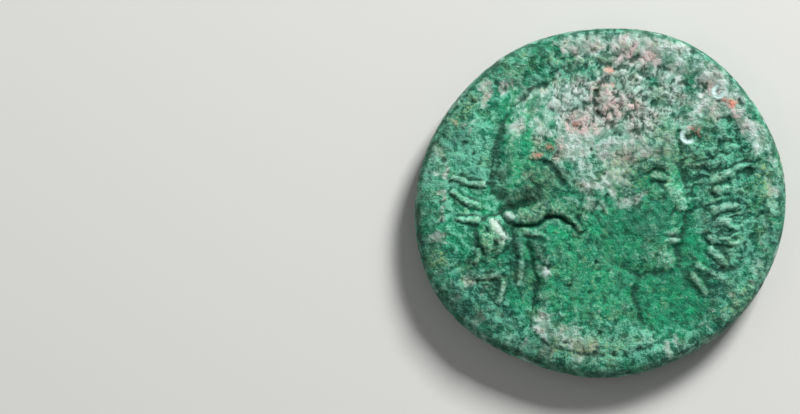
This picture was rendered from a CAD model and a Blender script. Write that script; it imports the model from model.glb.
"""The looks of a worn Roman provincial bronze coin: a thick struck flan under a green mineral patina.

It is laid out as an add-on with one operator that strikes the coin and one that lays out the stage. The
coin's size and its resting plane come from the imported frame. The relief is worked out in millimetres and
only turned into metres when the mesh is made.
"""

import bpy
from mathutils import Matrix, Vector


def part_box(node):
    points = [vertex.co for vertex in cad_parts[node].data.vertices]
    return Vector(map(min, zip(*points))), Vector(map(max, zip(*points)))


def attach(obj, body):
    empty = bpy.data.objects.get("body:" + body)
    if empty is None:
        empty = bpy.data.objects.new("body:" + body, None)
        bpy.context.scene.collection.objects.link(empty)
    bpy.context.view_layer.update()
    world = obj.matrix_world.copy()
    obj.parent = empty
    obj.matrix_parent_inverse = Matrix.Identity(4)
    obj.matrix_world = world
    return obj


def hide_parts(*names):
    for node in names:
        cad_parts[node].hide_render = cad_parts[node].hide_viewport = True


bl_info = {
    "name": "Worn Bronze Coin",
    "version": (1, 0, 0),
    "blender": (4, 5, 0),
    "location": "3D View > Sidebar > Coin",
    "description": "Strikes a worn, patinated bronze coin and lays out a plain stage for it",
    "category": "Add Mesh",
}

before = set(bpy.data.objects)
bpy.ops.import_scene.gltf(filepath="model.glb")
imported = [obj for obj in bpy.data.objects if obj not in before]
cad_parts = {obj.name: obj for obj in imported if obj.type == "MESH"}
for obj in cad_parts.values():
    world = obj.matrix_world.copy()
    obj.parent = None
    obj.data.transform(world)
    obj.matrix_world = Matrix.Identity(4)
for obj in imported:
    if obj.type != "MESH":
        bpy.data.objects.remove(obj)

import itertools
import math

import bpy
import numpy as np
from mathutils import Vector

MM = 0.001
COIN_NODE = "coin"
CAD_LOW, CAD_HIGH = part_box(COIN_NODE)
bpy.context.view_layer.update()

# ---- Driving dimensions, in millimetres ----

UNDER_RELIEF = 0.45  # from the under field down to the plane that the coin rests on
UPPER_RELIEF = 0.52  # from the upper field up to the top of the hair
RIM_RELIEF = 0.28  # of the upper rim's crest over its field
UNDER_ROUGHER = 1.3  # how many times rougher the under face's crust is than the upper's
DIE_TURN = math.radians(15)  # how far the under die was turned from a straight flip

# The hammered silhouette: number of lobes, their height as a share of the radius, where one points.
SWELLS = ((2, 0.0333, 14), (3, 0.0083, 77), (4, 0.0029, 23), (5, 0.0058, 61), (7, 0.0038, 11))


def silhouette(angle):
    """Outline's radius over its mean: 1 plus a cosine wave for each row of SWELLS."""
    waves = (share * np.cos(lobes * (angle - math.radians(towards))) for lobes, share, towards in SWELLS)
    return 1.0 + sum(waves)


def mean_radius():
    """The mean radius that makes the silhouette as wide as the frame's coin."""
    angle = np.linspace(0, 2 * math.pi, 721)
    across = silhouette(angle) * np.cos(angle)
    return (CAD_HIGH.x - CAD_LOW.x) / MM / (across.max() - across.min())


# ---- Noise ----

NOISE_GAIN = 1.6  # brings the noise's ends to about -1 and 1


def gradient_noise(points, cell, seed):
    """Smooth noise from about -1 to 1: a random slope at each corner of a lattice of side `cell`, and
    between corners the slopes' heights blended with the weight 6t^5 - 15t^4 + 10t^3."""
    rng = np.random.default_rng(seed)
    place = points / cell
    corner = np.floor(place).astype(int)
    local = place - corner
    corner -= corner.min(axis=0)
    shape = corner.max(axis=0) + 2
    slopes = rng.normal(size=(*shape, points.shape[-1]))
    slopes /= np.linalg.norm(slopes, axis=-1, keepdims=True)
    fade = local**3 * (local * (6 * local - 15) + 10)
    total = np.zeros(len(points))
    for step in itertools.product((0, 1), repeat=points.shape[-1]):
        step = np.array(step)
        weight = np.prod(np.where(step == 1, fade, 1 - fade), axis=-1)
        slope = slopes[tuple((corner + step).T)]
        total += weight * np.sum(slope * (local - step), axis=-1)
    return NOISE_GAIN * total


def layered_noise(points, cell, seed, layers=4, gain=0.55):
    """Gradient noise summed over layers, each with half the cell and `gain` times the height."""
    total = np.zeros(len(points))
    height = 1.0
    for layer in range(layers):
        total += height * gradient_noise(points, cell / 2**layer, seed + layer)
        height *= gain
    return total


def chips(plan, cell, seed):
    """Irregular chips: each point belongs to the nearest of a set of middles, one scattered in every
    square of side `cell`. Returns a random number for the point's chip, from 0 to 1, and the distance
    in from the chip's border: half of what the second nearest middle is further off."""
    rng = np.random.default_rng(seed)
    place = plan / cell
    square = np.floor(place).astype(int)
    low = square.min(axis=0) - 1
    size = square.max(axis=0) - low + 2
    middles = rng.random((*size, 2))
    marks = rng.random(tuple(size))
    nearest = np.full(len(plan), np.inf)
    second = nearest
    mark = np.zeros(len(plan))
    for step in itertools.product((-1, 0, 1), repeat=2):
        there = square + step
        index = tuple((there - low).T)
        gap = np.linalg.norm(there + middles[index] - place, axis=-1)
        nearer = gap < nearest
        second = np.where(nearer, nearest, np.minimum(second, gap))
        mark = np.where(nearer, marks[index], mark)
        nearest = np.minimum(nearest, gap)
    return mark, 0.5 * (second - nearest) * cell


# ---- Shapes of relief, all in one face's own view: x right, y up, on its field ----


def smooth(value, low, high):
    """0 up to `low`, 1 from `high`, and the S-curve 3t^2 - 2t^3 between."""
    t = np.clip((value - low) / (high - low), 0, 1)
    return t * t * (3 - 2 * t)


def curve_through(points, closed=False, steps=8):
    """A smooth line through the points: Catmull and Rom's cubic, with `steps` samples a span."""
    knots = np.array(points, float)
    if closed:
        knots = np.vstack([knots[-1], knots, knots[:2]])
    else:
        knots = np.vstack([2 * knots[0] - knots[1], knots, 2 * knots[-1] - knots[-2]])
    t = np.linspace(0, 1, steps, endpoint=False)[:, None]
    spans = []
    for a, b, c, d in zip(knots, knots[1:], knots[2:], knots[3:]):
        spans.append(0.5 * (2 * b + (c - a) * t + (2 * a - 5 * b + 4 * c - d) * t**2
                            + (3 * b - a - 3 * c + d) * t**3))
    line = np.vstack(spans)
    return line if closed else np.vstack([line, knots[-2]])


def distance_to(plan, line, closed=False):
    """Distance from each point to a polyline, and how far along it the nearest place is, 0 to 1."""
    ends = np.roll(line, -1, axis=0) if closed else line[1:]
    starts = line if closed else line[:-1]
    best = np.full(len(plan), np.inf)
    where = np.zeros(len(plan))
    for i, (a, b) in enumerate(zip(starts, ends)):
        span = b - a
        t = np.clip((plan - a) @ span / max(span @ span, 1e-12), 0, 1)
        gap = np.linalg.norm(plan - a - t[:, None] * span, axis=-1)
        closer = gap < best
        best = np.where(closer, gap, best)
        where = np.where(closer, (i + t) / len(starts), where)
    return best, where


def depth_inside(plan, outline):
    """Distance inside a smooth closed outline, negative outside it. A point is inside when a ray
    from it towards +X crosses the outline an odd number of times."""
    line = curve_through(outline, closed=True, steps=5)
    gap, _ = distance_to(plan, line, closed=True)
    odd = np.zeros(len(plan), bool)
    x, y = plan.T
    for (ax, ay), (bx, by) in zip(line, np.roll(line, -1, axis=0)):
        if ay == by:
            continue
        crosses = (ay > y) != (by > y)
        odd ^= crosses & (x < (bx - ax) * (y - ay) / (by - ay) + ax)
    return np.where(odd, gap, -gap)


def in_ellipse(plan, at, half, turn=0.0):
    """The ellipse's own measure, hypot(x' / a, y' / b) in its own turned axes: 0 in its middle and 1 on
    its edge. `turn` is in degrees."""
    c, s = math.cos(math.radians(turn)), math.sin(math.radians(turn))
    dx, dy = (plan - np.array(at)).T
    return np.hypot((c * dx + s * dy) / half[0], (c * dy - s * dx) / half[1])


def swelling(plan, at, half, height, turn=0.0, power=0.7):
    """A broad swelling: height times (1 - e^2) to a power, where e is the ellipse's measure."""
    e = in_ellipse(plan, at, half, turn)
    return height * np.maximum(0, 1 - e * e) ** power


def strand(plan, points, width, height, taper=0.5, power=0.5):
    """A rounded cord along a curve: height times 1 - (2 d / width)^2 to a power, its width and height
    shrinking towards the far end by `taper`."""
    gap, along = distance_to(plan, curve_through(points))
    share = 1 - taper * along**2
    return height * share * np.maximum(0, 1 - (2 * gap / (width * share)) ** 2) ** power


def groove(plan, points, width, depth):
    """A soft cut along a curve: minus depth times exp(-(d / width)^2), fading out at both ends."""
    gap, along = distance_to(plan, curve_through(points))
    ends = smooth(along, 0.0, 0.12) * smooth(-along, -1.0, -0.85)
    return -depth * np.exp(-((gap / width) ** 2)) * (0.35 + 0.65 * ends)


def engraved(plan, cuts):
    """A set of soft cuts, added up."""
    return sum(groove(plan, *cut) for cut in cuts)


def spot(plan, at, half, turn=0.0, edge=0.35):
    """A soft-edged patch: 1 inside the ellipse, 0 outside it."""
    return smooth(-in_ellipse(plan, at, half, turn), -1 - edge, -1 + edge)


def melted(heights, sharpness=4):
    """Swellings run into one another: the sharpness-th root of the sum of their powers."""
    return sum(np.maximum(h, 0) ** sharpness for h in heights) ** (1 / sharpness)


def frayed_plan(plan, seed):
    """The plan with its points moved about by a tenth of a millimetre or so, which frays outlines."""
    wander = [layered_noise(plan, 1.3, seed + 10 * axis, layers=4, gain=0.6) for axis in (0, 1)]
    return plan + 0.13 * np.stack(wander, axis=-1)


def stroke_row(plan, radius, start, stop, leans, lengths, width, height, power=0.5):
    """Bars spaced evenly along an arc about the flan's axis, from the angle `start` to `stop`, each
    leaning its own way from the radius."""
    rows = []
    for i, lean in enumerate(leans):
        angle = math.radians(start + (stop - start) * i / (len(leans) - 1))
        middle = radius * np.array([math.cos(angle), math.sin(angle)])
        tilt = angle + math.radians(lean)
        reach = 0.5 * lengths[i % len(lengths)] * np.array([math.cos(tilt), math.sin(tilt)])
        bow = 0.06 * np.array([-math.sin(tilt), math.cos(tilt)])
        bar = (middle - reach, middle + bow, middle + reach)
        rows.append(strand(plan, bar, width, height, taper=0.3, power=power))
    return np.max(rows, axis=0)


# ---- The upper face: head with its hair tied in a knot ----

# The head's outline: down the forehead and the profile to the neck, and back up over the hair.
HEAD_WITH_KNOT = (
    (4.5, 6.2), (5.0, 4.6), (5.15, 3.1), (5.0, 2.4), (5.6, 0.9), (6.0, -0.2), (5.35, -0.75),
    (5.4, -1.5), (5.1, -1.95), (5.2, -2.5), (4.8, -3.0), (4.95, -3.7), (4.3, -4.4), (2.9, -4.5),
    (2.2, -5.4), (2.4, -7.6), (3.6, -9.1), (0.6, -9.9), (-2.4, -9.6), (-4.5, -8.3), (-4.2, -5.6),
    (-4.7, -2.6), (-6.4, -0.6), (-7.1, 2.2), (-6.4, 5.1), (-4.5, 7.3), (-1.6, 8.6), (1.6, 8.7),
    (3.5, 7.7),
)
HAIRLINE = ((-1.2, -0.9), (-0.2, 0.9), (1.5, 2.5), (3.7, 3.9))
NAPE_ROLL = ((-5.9, -1.1), (-4.8, -0.75), (-3.5, -0.3), (-2.4, -0.5), (-1.5, -1.35))
KNOT = ((-7.1, -2.15), (1.17, 1.36))
TIE = (-5.7, -1.9)
LOCK_TIPS = ((-3.4, -2.3), (-3.6, -3.9), (-4.4, -5.1), (-5.4, -5.4))
# The wreath's leaves, worn to lumps: middle, half length, half width and turn of each.
LEAVES = (
    (-4.2, 3.45, 0.85, 0.55, 25), (-3.0, 6.5, 0.5, 0.36, -30), (-2.6, 4.9, 0.7, 0.4, 70),
    (-1.25, 5.65, 0.85, 0.55, 20), (0.2, 6.75, 1.1, 0.5, 80), (1.55, 6.75, 0.85, 0.4, 105),
    (2.75, 6.35, 0.8, 0.42, 60), (3.6, 7.2, 0.7, 0.36, 35), (0.55, 8.75, 0.45, 0.3, -20),
    (2.3, 9.0, 0.8, 0.4, 55), (-0.4, 4.4, 0.8, 0.4, 35), (1.5, 5.0, 0.75, 0.42, 10),
)
# A cut is its curve, its width and its depth.
FACE_LINES = (
    (((2.7, 1.75), (3.7, 2.12), (4.5, 1.75)), 0.13, 0.16),  # over the eye
    (((3.0, 1.4), (3.8, 1.25), (4.4, 1.5)), 0.12, 0.11),  # under the eye
    (((4.5, -2.18), (5.2, -2.2)), 0.09, 0.12),  # between the lips
    (((4.5, -0.75), (4.85, -0.35), (4.8, 0.1)), 0.12, 0.08),  # behind the nose
)
UPPER_CUTS = (
    (((-5.85, -1.55), (-4.5, -1.5), (-3.5, -1.05), (-2.85, -0.9), (-2.3, -1.35), (-1.5, -1.95)),
     0.15, 0.3),  # under the roll of hair
    (((-6.5, -0.55), (-5.7, -0.3), (-4.9, 0.15), (-4.2, 0.35)), 0.32, 0.26),  # over the roll
    (((-6.2, 5.2), (-6.75, 3.6), (-6.85, 2.0), (-6.6, 0.6), (-6.0, -0.4)), 0.42, 0.15),  # behind the head
    (((-4.6, -3.6), (-4.3, -5.2), (-4.4, -7.4)), 0.26, 0.12),  # behind the neck
    (((2.3, -5.3), (2.2, -6.6), (2.5, -7.9)), 0.5, 0.12),  # before the neck
    (((-1.6, -0.9), (-1.35, -1.4), (-1.1, -1.9)), 0.25, 0.14),  # across the roll's end
    (((-3.9, 2.8), (-3.1, 2.2), (-2.3, 1.0)), 0.28, 0.2),  # a furrow in the hair
    (((-4.9, 1.9), (-4.3, 1.2), (-4.1, 0.6)), 0.25, 0.1),  # another, further back
    (((-0.42, 7.6), (-0.5, 6.9), (-0.4, 6.1), (0.0, 5.6)), 0.14, 0.1),  # between leaves of the wreath
    (((6.4, 3.6), (6.5, 2.6), (6.2, 1.4)), 0.7, 0.06),  # the field before the brow
)


def upper_relief(plan):
    """Height of the upper die's design over its field."""
    inside = depth_inside(plan, HEAD_WITH_KNOT)
    plateau = 0.09 * smooth(inside, -0.12, 0.16) + 0.09 * smooth(inside, -0.3, 0.6)
    broad = melted((
        swelling(plan, (-1.0, 3.7), (6.0, 5.0), 0.3, turn=8),
        swelling(plan, (2.2, 0.1), (3.6, 4.9), 0.28),
        swelling(plan, (-1.0, -5.6), (3.2, 5.6), 0.22, turn=4),
    )) * smooth(inside, -0.1, 0.9)
    face = melted((
        swelling(plan, (4.95, 0.4), (0.6, 1.5), 0.16, turn=24, power=0.9),
        swelling(plan, (5.3, -0.35), (0.42, 0.3), 0.15),
        swelling(plan, (4.75, -1.85), (0.6, 0.24), 0.14, turn=6, power=0.9),
        swelling(plan, (4.7, -2.5), (0.55, 0.22), 0.13, turn=-4, power=0.9),
        swelling(plan, (4.3, -3.6), (0.7, 0.62), 0.1, power=1),
        swelling(plan, (3.75, 1.7), (0.62, 0.27), 0.17, turn=-8),
        swelling(plan, (2.6, -1.0), (1.5, 1.2), 0.1, turn=-30),
    ), sharpness=3)
    brow = strand(plan, ((2.3, 2.3), (3.4, 2.75), (4.7, 2.4)), 0.5, 0.15, taper=0.2)
    jaw = groove(plan, ((-0.4, -2.2), (0.9, -3.9), (2.9, -4.75)), 0.45, 0.1)
    ear = strand(plan, ((0.3, -0.5), (0.0, 0.2), (0.35, 0.8), (0.8, 0.5)), 0.36, 0.11)
    roll = np.maximum(
        strand(plan, NAPE_ROLL, 1.35, 0.13, taper=0.3, power=0.8),
        strand(plan, HAIRLINE, 0.8, 0.1, power=0.8),
    )
    parts = np.maximum.reduce([roll, knot_relief(plan), leaf_relief(plan), lock_relief(plan)])
    border = strand(plan, ((-3.2, 9.1), (-1.4, 9.5), (0.2, 9.55), (1.3, 9.4)), 0.45, 0.05, taper=0.1)
    bare = plateau + broad + face + brow + engraved(plan, FACE_LINES) + jaw + ear
    bare += engraved(plan, UPPER_CUTS)
    bare += swelling(plan, (-0.9, 8.75), (3.8, 1.0), 0.12, turn=5, power=1)
    return bare + parts * np.clip(0.85 + 0.3 * layered_noise(plan, 1.6, 151), 0.3, 1) + border


def upper_strokes(plan):
    """Rows of plain bars where the upper face's inscription stands, worn away in places."""
    bars = np.maximum.reduce([
        stroke_row(plan, 8.5, 13, -40, (10, -5, 8, -14, 4, -20, 8, -12), (1.9, 1.5, 1.75, 1.2),
                   0.7, 0.22, 0.9),
        stroke_row(plan, 8.9, 170.5, 187, (-4, -28, -18), (2.1, 1.9, 1.3), 0.5, 0.24),
        stroke_row(plan, 8.9, 203, 222, (55, -22, 30), (0.8, 1.4, 1.2), 0.5, 0.22, 0.8),
    ])
    return bars * np.clip(0.9 + 0.5 * layered_noise(plan, 1.2, 141), 0.25, 1)


def knot_relief(plan):
    """The knot: a dome with folds wound round it and two strands over its upper right, the small lump
    of its tie, and a groove round its foot."""
    at, half = KNOT
    dome = swelling(plan, at, half, 0.5, power=0.75)
    strands = np.maximum(
        strand(plan, ((-7.35, -0.95), (-6.85, -1.6), (-6.2, -2.4)), 0.46, 0.17),
        strand(plan, ((-7.2, -1.7), (-6.85, -2.3), (-6.45, -3.0)), 0.36, 0.1),
    )
    folds = 0.07 * np.sin(9.0 * in_ellipse(plan, (-7.5, -2.6), half) + 2.0 * (plan[:, 0] + 7.0))
    tie = swelling(plan, (-6.1, -0.95), (0.34, 0.42), 0.36, power=0.6)
    foot = 0.2 * smooth(-np.abs(in_ellipse(plan, at, half) - 1.13), -0.22, 0.0)
    foot *= smooth(-(plan - np.array(at)) @ np.array([0.35, 0.94]), -0.9, 0.6)
    return np.maximum(dome + (strands + folds) * smooth(dome, 0.02, 0.25), tie) - foot


def leaf_relief(plan):
    """Worn leaves of the wreath, each an elliptical swelling of its own turn."""
    leaves = [swelling(plan, (x, y), (long, wide), 0.19, turn=turn) for x, y, long, wide, turn in LEAVES]
    return np.max(leaves, axis=0)


def lock_relief(plan):
    """Short locks that fan down from the tie over the nape."""
    locks = []
    for i, tip in enumerate(LOCK_TIPS):
        start = (TIE[0] + 0.05 * i, TIE[1] - 0.13 * i)
        middle = (0.5 * (start[0] + tip[0]) + 0.2, 0.5 * (start[1] + tip[1]) + 0.15)
        locks.append(strand(plan, (start, middle, tip), 0.55, 0.16, power=0.7))
    return np.max(locks, axis=0)


# ---- The under face: head with short hair ----

# The outline runs as the upper head's does.
HEAD_SHORT_HAIR = (
    (4.0, 6.6), (4.7, 5.0), (5.0, 3.4), (4.75, 2.6), (5.4, 1.0), (6.0, -0.2), (5.15, -0.85),
    (5.25, -1.7), (4.9, -2.15), (5.05, -2.75), (4.6, -3.4), (4.75, -4.3), (4.0, -5.1), (2.2, -5.1),
    (1.4, -6.2), (1.7, -7.8), (2.6, -9.0), (-0.8, -8.5), (-4.4, -6.7), (-6.9, -4.9), (-6.3, -2.4),
    (-6.9, 0.2), (-7.9, 3.2), (-7.3, 6.1), (-5.0, 8.5), (-1.8, 9.6), (1.6, 9.1),
)
UNDER_CUTS = (
    (((-8.6, 5.7), (-8.3, 4.3), (-7.8, 2.6), (-7.7, 1.2)), 0.5, 0.11),  # behind the head
    (((-10.2, 2.6), (-9.7, 2.0), (-9.1, 1.55)), 0.16, 0.12),  # under the mark in the left field
    (((-7.9, -4.6), (-6.4, -5.3), (-4.9, -6.3), (-3.6, -7.6)), 0.6, 0.15),  # under the neck
    (((-6.7, 0.2), (-6.2, -1.6), (-6.6, -3.6)), 0.3, 0.08),  # behind the neck
    (((1.2, -5.4), (1.2, -6.8), (1.7, -8.0)), 0.4, 0.1),  # before the neck
    (((-2.7, 0.25), (-1.0, -0.05), (0.9, 0.2)), 0.36, 0.12),  # across the ear and the temple
    (((2.6, 2.05), (3.5, 2.4), (4.3, 2.1)), 0.13, 0.13),  # over the eye
    (((2.8, 1.75), (3.6, 1.6), (4.2, 1.85)), 0.12, 0.09),  # under the eye
    (((0.0, -3.2), (1.2, -4.5), (3.2, -5.3)), 0.45, 0.08),  # under the jaw
    (((-0.3, 6.6), (0.5, 6.9), (1.2, 6.2), (1.5, 5.0)), 0.2, 0.14),  # round a lock over the brow
)


def under_relief(plan):
    """Height of the under die's design over its field, towards the resting plane."""
    inside = depth_inside(plan, HEAD_SHORT_HAIR)
    plateau = 0.07 * smooth(inside, -0.12, 0.16) + 0.06 * smooth(inside, -0.3, 0.6)
    broad = melted((
        swelling(plan, (-1.6, 4.0), (6.2, 5.4), 0.16, turn=8),
        swelling(plan, (0.2, -0.9), (4.9, 5.0), 0.2),
        swelling(plan, (-2.2, -4.8), (3.2, 4.2), 0.15, turn=-30),
    )) * smooth(inside, -0.1, 0.8)
    face = melted((
        swelling(plan, (4.95, 0.4), (0.6, 1.4), 0.13, turn=24, power=0.9),
        swelling(plan, (5.2, -0.35), (0.42, 0.3), 0.12),
        swelling(plan, (4.6, -2.0), (0.6, 0.25), 0.12, turn=6, power=0.9),
        swelling(plan, (4.5, -2.75), (0.55, 0.24), 0.11, turn=-4, power=0.9),
        swelling(plan, (4.1, -4.0), (0.8, 0.7), 0.09, power=1),
        swelling(plan, (3.5, 2.05), (0.62, 0.27), 0.14, turn=-8),
    ), sharpness=3)
    brow = strand(plan, ((2.0, 2.65), (3.2, 3.05), (4.5, 2.75)), 0.5, 0.11, taper=0.2)
    ear = strand(plan, ((-1.5, -1.3), (-2.0, -0.4), (-1.6, 0.5), (-0.9, 0.4)), 0.5, 0.1)
    stray = np.maximum(
        swelling(plan, (-9.75, 2.55), (0.95, 0.34), 0.26, turn=-45, power=0.6),
        strand(plan, ((3.3, -0.9), (4.3, -1.4), (5.6, -2.1)), 0.34, 0.12),
    )
    return plateau + broad + face + brow + ear + stray + engraved(plan, UNDER_CUTS) + short_locks(plan)


def under_strokes(plan):
    """Rows of plain bars where the under face's inscription stands."""
    return np.maximum(
        stroke_row(plan, 9.6, 176, 157, (10, -50), (1.1, 1.7), 0.5, 0.16, 0.8),
        stroke_row(plan, 9.0, 30, -30, (20, -10, 50, -24, 6), (1.5, 1.1), 0.6, 0.13, 0.9),
    )


def short_locks(plan):
    """Three arcs of comma-shaped locks about the crown."""
    crown = np.array((-1.9, 3.1))
    locks = np.zeros(len(plan))
    for radius, count in ((2.2, 4), (3.7, 7), (5.2, 10)):
        for angle in np.radians(np.linspace(20, 215, count)):
            out = np.array([math.cos(angle), math.sin(angle)])
            across = np.array([-out[1], out[0]])
            at = crown + radius * out
            comma = (at - 0.6 * across - 0.25 * out, at + 0.2 * out, at + 0.65 * across - 0.1 * out)
            locks = np.maximum(locks, strand(plan, comma, 0.62, 0.17, power=0.7))
    return locks


# ---- The coin's surface ----

FACE_CELLS = 208  # squares across each face's grid
EDGE_ROWS = 15  # rows of squares down the edge
EDGE_POWER = 2.5  # 2 gives a round edge, more a squarer one
EDGE_MASKS = {"teal": 0.6, "mist": 0.3, "smooth": 0.1}  # the patina's masks half way down the edge
CRUST_APART = 3.0  # millimetres between the two faces' layers of noise, so that their crusts differ
STREAK_TURN = math.radians(9)  # how far the metal's own grain is turned from the x axis


def disc_grid(cells):
    """A square grid pressed into a disc, each square ring becoming a circle: a point (a, b) goes to
    radius max(|a|, |b|) and to the angle that its place along the ring's side gives. Returns the
    radius, from 0 to 1, and the angle of every grid point."""
    a, b = np.meshgrid(np.linspace(-1, 1, cells + 1), np.linspace(-1, 1, cells + 1), indexing="ij")
    wide = np.abs(a) >= np.abs(b)
    with np.errstate(divide="ignore", invalid="ignore"):
        turn = np.where(wide, np.pi / 4 * b / a, np.pi / 2 - np.pi / 4 * a / b)
    turn = np.nan_to_num(turn)
    signed = np.where(wide, a, b)
    return np.abs(signed), np.arctan2(signed * np.sin(turn), signed * np.cos(turn))


def ring_of(cells):
    """Grid indices round the border of the square grid, anticlockwise."""
    index = np.arange((cells + 1) ** 2).reshape(cells + 1, cells + 1)
    return np.concatenate([index[:-1, 0], index[-1, :-1], index[:0:-1, -1], index[0, :0:-1]])


def blurred(grid, reach):
    """Mean over a square window of the grid, taken twice, with the border repeated."""
    window = 2 * reach + 1
    for _ in range(2):
        for axis in (0, 1):
            pad = [(0, 0), (0, 0)]
            pad[axis] = (reach + 1, reach)
            total = np.cumsum(np.pad(grid, pad, mode="edge"), axis=axis)
            high = np.take(total, range(window, total.shape[axis]), axis=axis)
            low = np.take(total, range(0, total.shape[axis] - window), axis=axis)
            grid = (high - low) / window
    return grid


def rim_left(angle, upper):
    """Share of the rim's rise that is left round the coin: most of it on one side, little opposite."""
    towards = math.radians(55 if upper else -30)
    return 0.3 + 0.65 * smooth(np.cos(angle - towards), -0.7, 0.7)


def edge_width(angle, upper):
    """How far the rounded edge reaches in from the silhouette, in millimetres. The upper face falls
    away widest at the lower left, where the flan was cast thin."""
    towards = math.radians(240 if upper else 60)
    return 1.0 + (0.4 if upper else 0.15) * np.cos(angle - towards)


# ---- Operator: the coin ----


class CoinShape(bpy.types.PropertyGroup):
    """Sizes of the struck coin."""

    radius: bpy.props.FloatProperty(
        name="Mean Radius", description="Mean radius of the flan's silhouette",
        default=mean_radius() * MM, min=0.005, max=0.03, precision=5, unit="LENGTH")
    corrosion: bpy.props.FloatProperty(
        name="Corrosion", description="Height of the mineral crust's lumps and grain",
        default=0.08 * MM, min=0.0, max=0.0003, precision=6, unit="LENGTH")
    relief: bpy.props.FloatProperty(
        name="Relief Left", description="Share of the struck relief that wear has left",
        default=1.0, min=0.2, max=1.2, subtype="FACTOR")
    seed: bpy.props.IntProperty(
        name="Seed", description="Which random crust is grown", default=7, min=0, max=1000)


def face_surface(shape, upper):
    """One face as arrays over its grid: the plan and height in millimetres, and the masks that the
    patina reads. Height is the field's level, plus the die's relief cut back by wear, plus the rim's
    rise towards the silhouette, plus layered noise for the mineral crust."""
    share, angle = disc_grid(FACE_CELLS)
    share, angle = share.ravel(), angle.ravel()
    outer = shape.radius / MM * silhouette(angle)
    radius = share * (outer - edge_width(angle, upper))
    world = np.stack([radius * np.cos(angle), radius * np.sin(angle)], axis=-1)
    plan = world if upper else seen_from_below(world)
    rim_gap = outer - radius

    frayed = frayed_plan(plan, 171 if upper else 191)
    if upper:
        relief, strokes = upper_relief(frayed), upper_strokes(frayed)
        zones = upper_zones(frayed, rim_gap)
        zones["pale"] = pale_rings(plan)
    else:
        relief, strokes = under_relief(frayed), under_strokes(frayed)
        zones = under_zones(frayed, rim_gap)
        zones["pale"] = np.zeros(len(plan))
    zones["worn"] = np.maximum(zones["worn"], 0.34 * smooth(strokes, 0.06, 0.26))
    crust, zones["crack"], mark = crust_height(world, plan, zones, shape, upper)
    zones["blush"] = np.clip(zones["blush"] * (0.35 + 1.1 * mark), 0, 1)

    uneven = 0.3 * gradient_noise(plan, 2.2, 61)
    rim = RIM_RELIEF * rim_left(angle, upper) * smooth(-rim_gap + uneven, -2.4, -1.0)
    height = shape.relief * (relief + strokes) * smooth(rim_gap, 0.9, 1.7) + rim
    height += crust - zones["dents"]
    height = soft_ceiling(height, UPPER_RELIEF if upper else UNDER_RELIEF)
    return {"world": world, "height": height, "zones": zones}


def soft_ceiling(height, ceiling, softness=0.06):
    """Wears high points down: unchanged well below the ceiling, then bending over to reach it."""
    over = height - (ceiling - softness)
    return np.where(over > 0, ceiling - softness + softness * (1 - np.exp(-over / softness)), height)


def seen_from_below(plan):
    """Points of the plan in the under face's own view: mirrored, and turned by the die's turn."""
    c, s = math.cos(DIE_TURN), math.sin(DIE_TURN)
    x, y = plan.T
    return np.stack([c * x + s * y, s * x - c * y], axis=-1)


def crust_height(world, plan, zones, shape, upper):
    """The mineral crust: slow lumps and finer grain, chips parted by cracks where the metal shows worn,
    streaks where its own grain shows, and pits. Smooth pockets keep little of it. Returns the height,
    the cracks' strength and a random number for each chip."""
    seed = shape.seed * 100
    swell = shape.corrosion / MM * (1 if upper else UNDER_ROUGHER)
    spatial = np.column_stack([world, np.full(len(world), CRUST_APART if upper else 0.0)])
    lumps = layered_noise(spatial, 1.9, seed, layers=3, gain=0.62)
    grain = layered_noise(spatial, 0.55, seed + 10, layers=3, gain=0.7)
    warp = np.stack([layered_noise(plan, 0.9, seed + 20, layers=3),
                     layered_noise(plan, 0.9, seed + 25, layers=3)], axis=-1)

    bent = plan + 0.32 * warp
    mark, inset = chips(bent * np.array([1.25, 0.85]), 0.85, seed + 30)
    small_mark, small_inset = chips(bent[:, ::-1] * np.array([1.3, 0.8]), 0.42, seed + 33)
    gaps = np.maximum(1 - smooth(inset, 0.0, 0.15), 0.6 * (1 - smooth(small_inset, 0.0, 0.1)))
    flaking = 0.9 * (mark - 0.5) + 0.6 * (small_mark - 0.5) - 1.3 * gaps

    along = np.array([math.cos(STREAK_TURN), math.sin(STREAK_TURN)])
    flow = plan + 0.2 * warp
    fibre = np.stack([flow @ along * 0.2, flow @ np.array([-along[1], along[0]]) * 1.9], axis=-1)
    streaks = layered_noise(fibre, 0.8, seed + 40, layers=3)
    pits = smooth(layered_noise(spatial, 0.8, seed + 50, layers=2), 0.55, 1.0)

    rough = 1 - 0.75 * zones["smooth"] * (1 - zones["granular"])
    patchy = np.clip(0.75 + 0.7 * layered_noise(plan, 2.2, seed + 60, layers=2), 0.25, 1.4)
    fine = 0.55 * grain * patchy * (0.3 + 0.7 * rough)
    fine = fine * (1 - 0.4 * zones["streaky"]) * (1 - 0.5 * zones["grainy"])
    height = 0.95 * lumps * rough + fine
    height += rough * (1.3 * zones["streaky"] * streaks - 1.2 * pits)
    height += zones["grainy"] * flaking
    return swell * height, zones["grainy"] * gaps * smooth(mark, 0.05, 0.5), mark


# ---- Where the patina changes ----

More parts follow.
